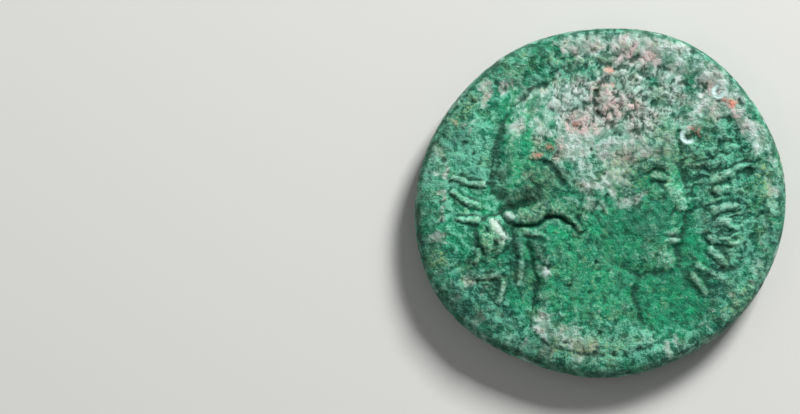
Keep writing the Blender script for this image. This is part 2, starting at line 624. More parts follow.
# Each face's soft patches, placed by hand in its own view, by what they mark. A patch is its strength,
# its middle, its half length and half width, its turn in degrees and how soft its edge is.
#   worn: rubbed high points. flaked: the same, in flakes only. unworn: where wear is held back.
#   smooth: sheltered pockets. granular: pockets that stay rough. mist: grey-green film.
#   blush: pinkish wear. dirt: dark hollows. grainy: crust in chips. streaky: the metal's own grain.
#   teal, copper and ochre: patches of that colour. dents: how deep the surface is pressed in.
UPPER_PATCHES = {
    "worn": (
        (0.95, (0.4, 5.5), (5.2, 3.1), -8, 0.75), (0.9, (3.0, 9.6), (4.6, 2.2), -22, 0.75),
        (0.6, (0.0, 2.0), (3.0, 2.2), 0, 0.8),
        (0.62, (-6.7, -1.7), (0.85, 0.26), -52, 0.6), (0.45, (-6.6, -2.6), (0.5, 0.2), -55, 0.6),
        (0.3, (-6.05, -0.9), (0.3, 0.35), 0, 0.5), (0.45, (6.4, 6.6), (2.6, 2.6), 0, 0.9),
        (0.4, (-1.6, 8.7), (3.6, 0.8), 9, 0.8), (0.35, (-3.4, 1.4), (2.0, 1.4), 0, 0.9),
        (0.7, (-3.8, -4.5), (0.45, 0.3), -30, 0.5), (0.3, (4.7, -2.2), (0.6, 0.5), 0, 0.6),
        (0.55, (-2.3, -8.8), (2.4, 1.0), -32, 0.8),
    ),
    "flaked": ((0.5, (-8.0, -4.9), (1.3, 1.0), 0, 0.6), (0.5, (2.6, 0.4), (1.4, 0.4), 0, 0.7)),
    "unworn": ((0.55, (4.6, 3.3), (1.9, 1.7), 0, 0.8), (0.6, (10.2, 3.4), (2.0, 4.6), 0, 0.7)),
    "smooth": (
        (1, (-6.0, 6.3), (0.9, 1.4), -20, 0.7), (1.3, (-4.3, 5.0), (0.9, 2.6), -10, 0.8),
        (1, (5.2, -6.4), (1.6, 1.4), 0, 0.8), (1, (0.9, 0.4), (0.5, 1.8), 14, 0.8),
        (0.8, (4.4, -6.6), (2.4, 2.6), 0, 0.8), (1, (-5.9, 3.4), (0.7, 2.6), 8, 0.7),
        (1, (-8.0, -0.4), (1.5, 1.4), 0, 0.8), (1, (-5.3, -6.4), (0.8, 0.7), 0, 0.8),
        (1, (5.2, 8.6), (0.6, 0.4), 0, 0.7), (1, (0.2, -0.4), (0.5, 1.5), 8, 0.7),
        (1, (5.6, -3.4), (1.9, 1.2), 0, 0.8), (1, (-3.0, -2.5), (1.2, 0.8), 0, 0.7),
        (1, (-4.5, 10.3), (0.5, 0.4), 0, 0.7), (0.8, (-7.6, -2.4), (0.9, 1.1), 0, 0.6),
        (0.9, (-3.4, -1.9), (1.6, 0.5), -18, 0.7), (0.9, (-4.6, -3.6), (0.4, 1.8), 18, 0.7),
        (0.8, (1.0, -3.4), (3.2, 3.2), 0, 0.8), (0.8, (4.2, -0.6), (1.6, 3.4), 0, 0.8),
        (0.75, (-1.0, -6.4), (2.4, 2.2), 0, 0.9), (0.7, (-9.0, -0.6), (1.8, 2.6), 0, 0.9),
        (0.6, (-6.8, 5.4), (1.8, 2.2), 0, 0.9),
    ),
    "mist": (
        (0.8, (-4.6, 7.6), (3.6, 1.2), 38, 0.8), (0.9, (-1.2, 8.9), (3.6, 1.1), 5, 0.8),
        (1.25, (-8.6, 2.0), (2.6, 4.6), 0, 0.9), (0.3, (10.0, 2.0), (1.2, 4.0), 0, 0.8),
        (0.55, (-6.6, -7.0), (2.6, 1.6), -40, 0.9), (0.95, (1.5, -9.8), (5.2, 1.6), 0, 0.9),
        (0.8, (0.2, 3.8), (3.6, 2.2), 0, 0.8), (0.7, (7.2, 4.4), (2.4, 3.0), 0, 0.8),
        (0.6, (-2.6, -8.6), (2.6, 1.8), -30, 0.8), (0.85, (8.6, -2.4), (1.5, 4.4), 4, 0.8),
        (0.5, (-9.6, -3.2), (1.0, 2.0), 0, 0.8), (0.5, (5.0, 0.8), (1.6, 1.6), 0, 0.8),
    ),
    "blush": (
        (1.2, (0.3, 6.6), (1.0, 1.4), 0, 0.6), (0.9, (2.2, 9.9), (1.6, 0.8), -10, 0.7),
        (0.9, (1.6, 6.3), (1.2, 1.0), 0, 0.8), (1.4, (-1.4, 5.2), (1.0, 0.6), 0, 0.7),
        (1.4, (-3.6, 3.5), (1.2, 0.7), 0, 0.6), (0.4, (1.8, 3.2), (1.2, 0.8), 0, 0.8),
        (0.6, (8.2, 6.0), (0.7, 1.8), 30, 0.7), (0.5, (-2.6, 9.9), (2.4, 0.5), 12, 0.8),
        (0.5, (-7.5, 7.2), (1.2, 0.4), 45, 0.8),
    ),
    "dirt": (
        (0.9, (-5.1, 0.5), (1.7, 0.8), 10, 0.7), (0.6, (-6.4, 2.4), (0.45, 2.2), 6, 0.7),
        (0.6, (-4.6, -3.8), (0.9, 2.0), -12, 0.7), (0.5, (-3.6, 1.8), (1.2, 0.5), -40, 0.7),
        (0.5, (3.4, 1.9), (1.4, 0.4), 4, 0.7), (0.25, (7.4, -1.8), (0.7, 3.4), 4, 0.8),
        (0.45, (-9.6, 4.8), (0.5, 1.6), -25, 0.8), (0.5, (6.5, 3.0), (0.9, 0.6), 0, 0.7),
        (0.45, (2.4, -6.6), (0.4, 1.5), 0, 0.8), (0.4, (-1.5, -1.8), (1.0, 0.4), -35, 0.8),
        (0.45, (2.6, -1.4), (2.6, 2.6), 0, 0.9), (0.55, (3.4, 3.0), (2.6, 1.3), 10, 0.9),
        (0.4, (0.4, 3.4), (1.4, 0.5), -20, 0.9), (0.4, (6.9, 4.6), (1.2, 0.8), 0, 0.9),
        (0.35, (-7.4, -6.6), (1.6, 1.2), 0, 0.9), (0.35, (-8.2, -4.2), (1.4, 0.6), 0, 0.9),
        (0.3, (-3.6, 1.6), (1.6, 1.2), 0, 0.9), (0.45, (5.6, -5.6), (2.4, 2.8), 0, 0.9),
        (0.55, (-4.6, -0.9), (1.2, 0.3), 14, 0.8),
    ),
    "grainy": ((1, (0.9, 7.0), (3.8, 2.4), -10, 0.6), (0.7, (-4.0, 3.6), (1.2, 0.9), 0, 0.35)),
    "streaky": ((1, (7.6, 0.2), (2.6, 5.2), 0, 0.6),),
    "granular": ((0.9, (-0.8, -4.6), (3.2, 4.4), 0, 0.6), (0.7, (1.8, -0.4), (2.6, 2.4), 0, 0.7)),
    "teal": (
        (1, (6.6, 2.8), (1.9, 1.0), -10, 0.6), (0.8, (-3.0, 7.4), (1.7, 0.8), 20, 0.6),
        (0.7, (-7.6, -6.2), (2.2, 1.6), -40, 0.6), (0.4, (-7.6, 2.6), (0.6, 1.8), 0, 0.6),
        (0.7, (7.4, -3.6), (0.7, 2.2), 10, 0.6), (0.6, (2.3, -6.6), (0.5, 1.4), 0, 0.6),
        (0.5, (2.6, -9.6), (1.4, 0.7), 0, 0.6), (0.4, (6.0, -5.6), (2.4, 2.8), 0, 0.9),
        (0.4, (2.8, -1.2), (2.4, 2.4), 0, 0.9),
    ),
    "copper": (
        (1, (8.7, 6.55), (0.36, 0.32), 0, 0.5), (0.7, (8.2, 6.7), (0.2, 0.14), 0, 0.35),
        (0.85, (-3.55, 3.6), (0.24, 0.2), 0, 0.6), (0.65, (0.5, 8.85), (0.34, 0.22), -20, 0.35),
        (0.6, (0.75, 7.65), (0.18, 0.16), 0, 0.35), (0.6, (-1.7, 5.1), (0.22, 0.16), 0, 0.35),
        (0.6, (-9.75, 5.3), (0.26, 0.2), 0, 0.35), (0.7, (-11.1, 2.8), (0.2, 0.42), 0, 0.35),
        (0.55, (6.1, 4.75), (0.55, 0.09), -42, 0.35), (0.55, (6.4, 4.7), (0.35, 0.08), 60, 0.35),
    ),
    "flaked copper": ((0.55, (-4.3, 3.2), (0.5, 0.22), 30, 0.7),),
    "ochre": (
        (1, (-5.1, 10.05), (0.55, 0.3), 35, 0.35), (0.4, (10.6, 1.6), (0.6, 1.4), 0, 0.35),
        (0.3, (-7.5, -2.4), (0.8, 1.0), 0, 0.8), (0.5, (9.0, -6.8), (0.6, 2.2), -38, 0.35),
        (0.6, (-10.7, -3.6), (0.5, 0.5), 0, 0.35), (0.4, (-1.4, 9.4), (2.0, 0.25), 0, 0.35),
        (0.3, (4.3, 3.4), (1.9, 1.5), 0, 0.9), (0.4, (1.8, 2.2), (1.4, 1.2), 0, 0.9),
        (0.22, (-4.0, -0.5), (1.6, 0.7), 15, 0.35), (0.3, (-1.0, -9.6), (2.6, 0.8), 0, 0.35),
        (0.5, (-9.2, 6.0), (0.5, 1.6), -35, 0.35), (0.08, (-0.6, -5.2), (3.0, 3.2), 0, 0.9),
        (0.2, (-4.4, 1.2), (1.6, 1.6), 0, 0.9),
    ),
    "dents": ((0.25, (-5.0, 10.6), (0.7, 0.3), 27, 0.35), (0.12, (6.1, 4.2), (0.6, 0.4), 0, 0.35)),
}
UNDER_PATCHES = {
    "nick": ((1, (9.9, -5.6), (0.95, 0.6), -38, 0.5),),
    "worn": (
        (0.4, (-2.0, 8.4), (2.8, 1.3), 8, 0.8), (0.3, (-4.6, 6.6), (1.6, 1.8), 0, 0.8),
        (0.45, (-0.6, 4.9), (0.9, 0.6), 0, 0.7), (0.35, (-0.9, 1.0), (1.6, 0.5), -8, 0.8),
        (0.35, (1.0, 5.7), (0.5, 1.1), 20, 0.7), (0.5, (4.4, -1.5), (1.3, 0.16), -28, 0.5),
        (0.3, (-9.2, 0.2), (1.2, 1.8), 0, 0.8),
    ),
    "flaked": ((0.3, (-2.4, -7.2), (1.6, 1.2), 0, 0.9),),
    "smooth": (
        (1, (-8.6, 4.4), (0.6, 1.4), -6, 0.7), (0.8, (-9.2, 0.2), (1.1, 1.8), 0, 0.8),
        (0.8, (-7.2, 0.4), (0.5, 3.4), 4, 0.8), (1, (-3.2, 4.4), (1.0, 0.6), 0, 0.8),
        (1, (-0.9, 3.2), (1.6, 0.6), -12, 0.8), (0.9, (8.4, 3.0), (0.9, 2.8), 0, 0.8),
        (0.9, (6.6, 8.0), (1.6, 0.7), -40, 0.7), (0.8, (-7.4, -5.4), (0.9, 0.5), -35, 0.7),
        (0.7, (5.4, -6.4), (3.0, 1.8), 0, 0.9),
    ),
    "mist": ((0.4, (-3.4, 7.8), (3.6, 1.8), 18, 0.8), (0.3, (-2.0, -2.6), (3.0, 1.8), 0, 0.9)),
    "blush": ((0.5, (-1.2, 8.6), (1.8, 0.7), 0, 0.7),),
    "dirt": (
        (0.8, (-7.8, 5.4), (0.8, 1.5), -20, 0.8), (0.55, (-7.9, 2.6), (0.35, 1.6), 8, 0.8),
        (0.7, (-5.9, -5.8), (1.8, 0.35), -33, 0.8), (0.6, (-0.8, -0.2), (1.7, 0.35), -4, 0.8),
        (0.5, (1.5, 4.4), (0.9, 1.2), 0, 0.9), (0.5, (5.0, -3.0), (2.0, 0.7), -14, 0.9),
        (0.35, (-7.4, 1.0), (1.6, 4.0), 0, 0.9), (0.3, (7.2, 0.6), (1.6, 4.4), 0, 0.9),
        (0.5, (-6.0, -6.4), (2.2, 1.0), -35, 0.9), (0.4, (1.4, -3.0), (2.0, 1.0), 0, 0.9),
        (0.4, (-6.2, 4.6), (1.6, 1.0), -40, 0.9),
    ),
    "streaky": ((0.6, (4.4, -2.4), (2.4, 1.8), 0, 0.7),),
    "granular": (),
    "teal": (
        (0.9, (-9.3, 0.0), (1.5, 2.8), 0, 0.8), (0.9, (-6.0, -6.2), (2.4, 1.1), -35, 0.8),
        (0.9, (-2.4, -9.2), (3.0, 1.2), 0, 0.8), (0.7, (1.4, -2.8), (2.6, 1.4), 0, 0.9),
        (0.6, (0.6, 8.4), (0.6, 1.8), 0, 0.8), (0.7, (-0.4, 5.9), (2.4, 0.9), 0, 0.8),
        (0.6, (-8.6, 6.0), (1.6, 1.2), 50, 0.9), (0.5, (5.0, 4.6), (2.4, 1.6), 0, 0.9),
    ),
    "copper": ((0.6, (-9.0, -6.6), (0.3, 0.25), 0, 0.5), (0.4, (10.6, -1.6), (0.16, 0.9), 0, 0.7)),
    "flaked copper": (
        (0.45, (-4.4, -10.1), (1.0, 0.3), -25, 0.7), (0.4, (4.8, -9.8), (0.9, 0.25), 25, 0.7),
        (0.5, (-11.1, 0.4), (0.5, 2.6), 0, 0.8),
    ),
    "ochre": (
        (0.5, (8.4, -0.8), (1.0, 1.0), 0, 0.9), (0.4, (-3.4, 5.2), (1.4, 0.8), 0, 0.9),
        (0.4, (-5.8, 7.4), (2.0, 1.4), 40, 0.9), (0.35, (-6.6, -7.4), (1.4, 1.0), 0, 0.9),
        (0.3, (3.0, 3.4), (2.0, 1.4), 0, 0.9), (0.3, (-4.6, -0.8), (1.6, 1.6), 0, 0.9),
    ),
}


def strongest(plan, patches):
    """The strongest of a set of soft patches at each point."""
    marks = [strength * spot(plan, at, half, turn, edge) for strength, at, half, turn, edge in patches]
    return np.maximum.reduce([np.zeros(len(plan)), *marks])


def broken_up(mask, noise):
    """A mask with noise added where it is already strong, so that its edge breaks into islands."""
    return np.clip(mask + noise * smooth(mask, 0.0, 0.4), 0, 1) * smooth(mask, 0.0, 0.3)


def upper_zones(plan, rim_gap):
    """Where the upper face's patina changes, as masks from 0 to 1: its patches and what follows the
    rim, broken up by slow and quick noise."""
    slow = layered_noise(plan, 2.6, 301, layers=3)
    quick = layered_noise(plan, 0.9, 311, layers=3)
    broken = smooth(quick, -0.1, 0.5)
    zones = {name: strongest(plan, patches) for name, patches in UPPER_PATCHES.items()}

    crest = smooth(-rim_gap, -2.3, -1.3)
    rim_top = crest * smooth(plan @ np.array([0.55, 0.83]), 4.5, 9.5) * (0.8 + 0.3 * broken)
    band = smooth(-np.abs(rim_gap - 1.7), -0.6, -0.2) * smooth(plan @ np.array([-0.8, 0.6]), 4.0, 7.0)
    rim_round = np.maximum(0.4 * crest, 0.42 * band) * broken
    rim_dirt = 0.8 * smooth(-rim_gap, -2.4, -0.9) * smooth(plan @ np.array([-0.75, -0.66]), 6.0, 9.5)
    rim_mist = 0.7 * crest * smooth(quick, -0.4, 0.4)

    most = np.maximum.reduce([zones["worn"], zones["flaked"] * broken, 1.25 * rim_top, rim_round])
    for patch in UPPER_PATCHES["unworn"]:
        most = most * (1 - strongest(plan, [patch]))
    worn = broken_up(most, 0.55 * slow + 0.3 * quick)
    pockets = zones["smooth"]
    flakes = zones["flaked copper"] * (0.7 + 0.9 * broken)
    zones.update({
        "worn": worn,
        "smooth": np.clip(pockets * (1 + 0.5 * slow) - 0.25 * quick * pockets, 0, 1),
        "mist": np.clip(np.maximum(zones["mist"], rim_mist) + 0.3 * slow + 0.25 * quick, 0, 1),
        "blush": np.clip(zones["blush"] + 0.3 * quick, 0, 1),
        "dirt": stained(np.maximum(zones["dirt"], rim_dirt), slow, quick),
        "grainy": np.clip(zones["grainy"] + 0.4 * quick, 0, 1) * smooth(worn, 0.0, 0.4),
        "teal": np.clip(zones["teal"] + 0.25 * slow, 0, 1),
        "copper": np.maximum(zones["copper"], flakes),
        "ochre": np.clip(zones["ochre"] + 0.25 * smooth(quick, 0.5, 0.9), 0, 1),
    })
    return zones


def stained(dirt, slow, quick):
    """Dirt that lies thicker and thinner with the noise."""
    return np.clip(dirt * (1 + 0.7 * quick) * (1 + 0.5 * slow), 0, 1)


def under_zones(plan, rim_gap):
    """Where the under face's patina changes, as masks from 0 to 1: its patches, what follows the rim
    and the nick in it, broken up by slow and quick noise."""
    slow = layered_noise(plan, 2.2, 401, layers=3, gain=0.7)
    quick = layered_noise(plan, 0.9, 411, layers=3)
    broken = smooth(quick, -0.1, 0.5)
    zones = {name: strongest(plan, patches) for name, patches in UNDER_PATCHES.items()}

    nick = zones["nick"]
    upper_right = smooth(plan @ np.array([0.75, 0.66]), 3.0, 7.5)
    ridge = smooth(-np.abs(rim_gap - 1.2 - 0.15 * quick), -0.6, -0.1) * upper_right
    ridge_worn = ridge * (0.52 + 0.28 * broken) * (1 - 0.3 * smooth(-plan[:, 1], -4.0, 0.0))
    edge_pocket = smooth(-rim_gap, -0.9, -0.5) * upper_right
    rim_dirt = 0.9 * (smooth(-rim_gap, -1.7, -0.9) * smooth(plan @ np.array([-0.3, -0.95]), 2.0, 8.0))

    most = np.maximum.reduce([zones["worn"], zones["flaked"] * broken, ridge_worn, nick])
    worn = broken_up(most, 0.5 * slow + 0.3 * quick)
    worn = np.maximum(worn, 0.36 * smooth(slow + 0.6 * quick, -0.1, 0.7))
    teal = np.clip(zones["teal"] + 0.35 * slow, 0, 1)
    pink = np.maximum.reduce([zones["blush"], 0.2 * ridge, 1.5 * nick])
    bare_nick = 0.6 * nick * (1 - 0.8 * spot(plan, (10.0, -5.8), (0.6, 0.3), turn=-30, edge=0.6))
    zones.update({
        "worn": worn,
        "smooth": np.clip(np.maximum(zones["smooth"], edge_pocket) * (0.8 + 0.5 * slow), 0, 1),
        "mist": np.clip(0.3 - 0.45 * teal + 0.4 * slow + 0.25 * quick + zones["mist"], 0, 1),
        "blush": np.clip(pink + 0.3 * quick, 0, 1),
        "dirt": stained(np.maximum(zones["dirt"], rim_dirt), slow, quick),
        "grainy": 0.3 * smooth(worn, 0.1, 0.5) * (1 - nick),
        "teal": teal,
        "copper": np.maximum.reduce([zones["copper"], bare_nick, zones["flaked copper"] * broken]),
        "ochre": np.clip(zones["ochre"] + 0.3 * smooth(quick, 0.35, 0.9), 0, 1),
        "dents": 0.3 * nick,
    })
    return zones


RING_TURN = -3.9  # radians, from which the pale rings' gaps are counted


def pale_rings(plan):
    """Two small pale rings, the upper one nearly closed."""
    return np.maximum(
        ring_mark(plan, (7.75, 7.35), 0.34, 0.2, -0.75),
        ring_mark(plan, (5.75, 4.45), 0.42, 0.18, 0.0))


def ring_mark(plan, at, radius, width, cut):
    """A pale ring, left open where the sine of its angle, counted from RING_TURN, is under `cut`."""
    dx, dy = (plan - np.array(at)).T
    band = smooth(-np.abs(np.hypot(dx, dy) - radius), -width, -width * 0.3)
    return band * smooth(np.sin(np.arctan2(dy, dx) - RING_TURN), cut - 0.2, cut + 0.3)


ZONE_MASKS = ("worn", "smooth", "teal", "mist", "blush", "copper", "pale", "ochre")
MASKS = (*ZONE_MASKS, "crevice", "raised")


def face_masks(face):
    """The patina's masks for one face: its zones, with crevices where the height lies under its own
    local mean and raised points where it lies over it."""
    grid = face["height"].reshape(FACE_CELLS + 1, FACE_CELLS + 1)
    near = (grid - blurred(grid, 2)).ravel()
    wide = (grid - blurred(grid, 7)).ravel()
    zones = face["zones"]
    masks = {name: zones[name] for name in ZONE_MASKS}
    masks["crevice"] = np.clip(
        1.0 * smooth(-near, 0.009, 0.048) + 0.65 * smooth(-wide, 0.03, 0.15) + 0.6 * zones["crack"]
        + 0.7 * zones["dirt"], 0, 1)
    masks["raised"] = np.clip(0.6 * smooth(near, 0.006, 0.045) + 0.7 * smooth(wide, 0.02, 0.12), 0, 1)
    return masks


def edge_row(shape, turn, start, end):
    """One row of points round the edge, `turn` from the upper border at 0 to the under one at pi. It
    lies on the curve x = b sin(t)^(2/p), z = h cos(t)^(2/p) of power p, pressed in by the crust's
    lumps. Returns the points, the lumps and slow patches for the patina."""
    angle = np.arctan2(start[:, 1], start[:, 0])
    outer = shape.radius / MM * silhouette(angle)
    middle = 0.5 * (start[:, 2] + end[:, 2])
    first = start if turn < math.pi / 2 else end
    inner = np.hypot(first[:, 0], first[:, 1])
    round_out = abs(math.sin(turn)) ** (2 / EDGE_POWER)
    round_up = math.copysign(abs(math.cos(turn)) ** (2 / EDGE_POWER), math.cos(turn))
    radius = inner + (outer - inner) * round_out
    height = middle + np.abs(first[:, 2] - middle) * round_up
    row = np.column_stack([radius * np.cos(angle), radius * np.sin(angle), height])
    lumps = layered_noise(row, 1.1, shape.seed * 100, layers=4)
    patches = layered_noise(row, 2.0, shape.seed * 100 + 70, layers=4)
    out = -shape.corrosion / MM * (0.9 + 0.9 * np.abs(lumps)) * math.sin(turn)
    row[:, 0] += out * np.cos(angle)
    row[:, 1] += out * np.sin(angle)
    return row, lumps, patches


def edge_masks(turn, upper, under, lumps, patches):
    """The patina's masks for one row of the edge: the two borders' masks blended by how near each is,
    giving way to EDGE_MASKS and to the row's own lumps and patches half way down."""
    blend = 0.5 + 0.5 * math.cos(turn)
    halfway = abs(math.sin(turn)) ** 0.5
    masks = {}
    for name in MASKS:
        border = upper[name] * blend + under[name] * (1 - blend)
        masks[name] = border + halfway * (EDGE_MASKS.get(name, 0.0) - border)
    masks["worn"] = masks["worn"] + 0.5 * halfway * smooth(patches, 0.2, 0.8)
    masks["mist"] = np.clip(masks["mist"] + 0.6 * halfway * patches, 0, 1)
    masks["smooth"] = np.clip(masks["smooth"] - 0.7 * halfway * patches, 0, 1)
    masks["raised"] = np.clip(masks["raised"] + 0.5 * halfway * smooth(lumps, 0.1, 0.7), 0, 1)
    masks["crevice"] = np.clip(masks["crevice"] + 0.6 * smooth(-lumps, 0.0, 0.6), 0, 1)
    return masks


def coin_surface(shape):
    """The whole closed surface: the upper grid, the under grid, and the rows that carry each border
    point round the edge. Returns its points, its faces and its masks."""
    upper, under = face_surface(shape, True), face_surface(shape, False)
    top = CAD_HIGH.z / MM - UPPER_RELIEF + upper["height"]
    base = np.maximum(UNDER_RELIEF - under["height"], 0)
    points = [np.column_stack([upper["world"], top]), np.column_stack([under["world"], base])]
    masks = [face_masks(upper), face_masks(under)]

    ring = ring_of(FACE_CELLS)
    start, end = points[0][ring], points[1][ring]
    borders = [{name: face[name][ring] for name in MASKS} for face in masks]
    for turn in np.linspace(0, math.pi, EDGE_ROWS + 1)[1:-1]:
        row, lumps, patches = edge_row(shape, turn, start, end)
        points.append(row)
        masks.append(edge_masks(turn, *borders, lumps, patches))
    values = {name: np.concatenate([part[name] for part in masks]) for name in MASKS}
    return np.concatenate(points), coin_faces(ring), values


def coin_faces(ring):
    """Squares of both grids and of the rows between their borders, all facing out."""
    side = FACE_CELLS + 1
    index = np.arange(side * side).reshape(side, side)
    a, b, c, d = index[:-1, :-1], index[1:, :-1], index[1:, 1:], index[:-1, 1:]
    upper = np.stack([a, b, c, d], axis=-1).reshape(-1, 4)
    under = upper[:, ::-1] + side * side
    loops = [ring]
    for row in range(EDGE_ROWS - 1):
        loops.append(2 * side * side + row * len(ring) + np.arange(len(ring)))
    loops.append(ring + side * side)
    bands = []
    for above, below in zip(loops, loops[1:]):
        bands.append(np.stack([above, below, np.roll(below, -1), np.roll(above, -1)], axis=-1))
    return np.concatenate([upper, under, *bands])


def mesh_from(name, points, faces, values):
    """A smooth-shaded mesh, in metres, with each mask as an attribute of its points."""
    mesh = bpy.data.meshes.new(name)
    mesh.vertices.add(len(points))
    mesh.vertices.foreach_set("co", (points * MM).astype(np.float32).ravel())
    mesh.loops.add(faces.size)
    mesh.loops.foreach_set("vertex_index", faces.astype(np.int32).ravel())
    mesh.polygons.add(len(faces))
    mesh.polygons.foreach_set("loop_start", np.arange(0, faces.size, 4, dtype=np.int32))
    mesh.update(calc_edges=True)
    mesh.validate()
    mesh.polygons.foreach_set("use_smooth", np.ones(len(faces), bool))
    for label, value in values.items():
        attribute = mesh.attributes.new(label, "FLOAT", "POINT")
        attribute.data.foreach_set("value", value.astype(np.float32))
    return mesh


class COIN_OT_strike(bpy.types.Operator):
    """Strike the coin: one closed surface with both faces' relief, wear and mineral crust"""

    bl_idname = "coin.strike"
    bl_label = "Strike Coin"

    def execute(self, context):
        settings = context.scene.coin_shape
        points, faces, values = coin_surface(settings)
        coin = bpy.data.objects.new("coin_surface", mesh_from("coin_surface", points, faces, values))
        context.scene.collection.objects.link(coin)
        coin.data.materials.append(patina_material(context.scene.coin_patina))
        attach(coin, "root")
        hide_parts(COIN_NODE)
        return {"FINISHED"}


# ---- The patina ----

GRAIN_HEIGHT = 0.12 * MM  # of the finest grain, which only the light shows


def colour_property(name, description, default):
    """A colour that a user may change."""
    return bpy.props.FloatVectorProperty(
        name=name, description=description, default=default, size=3, min=0, max=1, subtype="COLOR")


class CoinPatina(bpy.types.PropertyGroup):
    """Colours of the mineral crust."""

    emerald: colour_property("Emerald", "Smooth malachite in sheltered pockets", (0.004, 0.36, 0.155))
    green: colour_property("Green", "The crust's commonest green", (0.015, 0.30, 0.15))
    teal: colour_property("Teal", "Bluer and darker patches of crust", (0.014, 0.15, 0.105))
    mist: colour_property("Mist", "Grey-green film over the crust", (0.16, 0.57, 0.39))
    mint: colour_property("Mint", "Pale grains and rubbed crust", (0.38, 0.68, 0.51))
    thin: colour_property("Thin Crust", "Grey-green, where the crust is half worn", (0.28, 0.43, 0.36))
    stone: colour_property("Stone", "Grey high points where the crust is worn thin", (0.63, 0.72, 0.70))
    blush: colour_property("Blush", "Pinkish cuprite in the worn high points", (0.66, 0.485, 0.48))
    crevice: colour_property("Crevice", "Dirt and shade in cracks", (0.002, 0.045, 0.026))
    copper: colour_property("Copper", "Bare reddish metal", (0.68, 0.29, 0.22))
    pale: colour_property("Pale Ring", "Pale blue-green rings", (0.66, 0.92, 0.87))
    ochre: colour_property("Ochre", "Yellowish earth in the crust", (0.34, 0.55, 0.20))
    olive: colour_property("Olive", "Warmer clouds in the crust", (0.17, 0.31, 0.14))
    umber: colour_property("Umber", "Brownish stain on worn crust", (0.25, 0.245, 0.19))
    slate: colour_property("Slate", "Cooler and greyer clouds in the crust", (0.05, 0.18, 0.155))


class NodeSheet:
    """Lays nodes into a tree and links them, so that a material reads from top to bottom."""

    def __init__(self, tree):
        """Starts on an empty tree."""
        self.tree = tree
        tree.nodes.clear()

    def fill(self, socket, value):
        """Sets an input to a value, or links it to a socket."""
        if isinstance(value, bpy.types.NodeSocket):
            self.tree.links.new(value, socket)
        else:
            socket.default_value = value

    def add(self, kind, inputs=(), **settings):
        """A node with its settings and its inputs."""
        node = self.tree.nodes.new(kind)
        for key, value in settings.items():
            setattr(node, key, value)
        for key, value in dict(inputs).items():
            self.fill(node.inputs[key], value)
        return node

    def math(self, operation, first, second, clamp=False):
        """One sum of two numbers."""
        node = self.add("ShaderNodeMath", {0: first, 1: second}, operation=operation, use_clamp=clamp)
        return node.outputs[0]

    def plus(self, first, second):
        """Two numbers added."""
        return self.math("ADD", first, second)

    def times(self, first, second, clamp=False):
        """Two numbers multiplied."""
        return self.math("MULTIPLY", first, second, clamp)

    def between(self, value, low, high, out_low=0.0, out_high=1.0):
        """The value mapped smoothly from low..high to out_low..out_high."""
        node = self.add("ShaderNodeMapRange", {
            "Value": value, "From Min": low, "From Max": high, "To Min": out_low, "To Max": out_high},
            interpolation_type="SMOOTHSTEP")
        return node.outputs["Result"]

    def mix(self, factor, first, second):
        """Two colours mixed by a factor. The node's inputs go by number, as their names repeat."""
        node = self.add("ShaderNodeMix", data_type="RGBA")
        for place, value in ((0, factor), (6, first), (7, second)):
            self.fill(node.inputs[place], value)
        return node.outputs[2]

    def attribute(self, name):
        """A mask that the mesh carries."""
        node = self.add("ShaderNodeAttribute", attribute_name=name, attribute_type="GEOMETRY")
        return node.outputs["Fac"]


def rgba(colour):
    """A colour with full alpha."""
    return (*colour, 1.0)


def tint_name(colour):
    """The name that a colour's input has in the node group."""
    return f"{colour.title()} Tint"


GRAIN_KINDS = ("Patches", "Warmth", "Coolness", "Grains", "Speckle", "Granule", "Tone")
TINTS = (
    "emerald", "green", "teal", "mist", "mint", "stone", "thin", "blush", "crevice", "copper", "pale",
    "ochre", "olive", "slate", "umber",
)


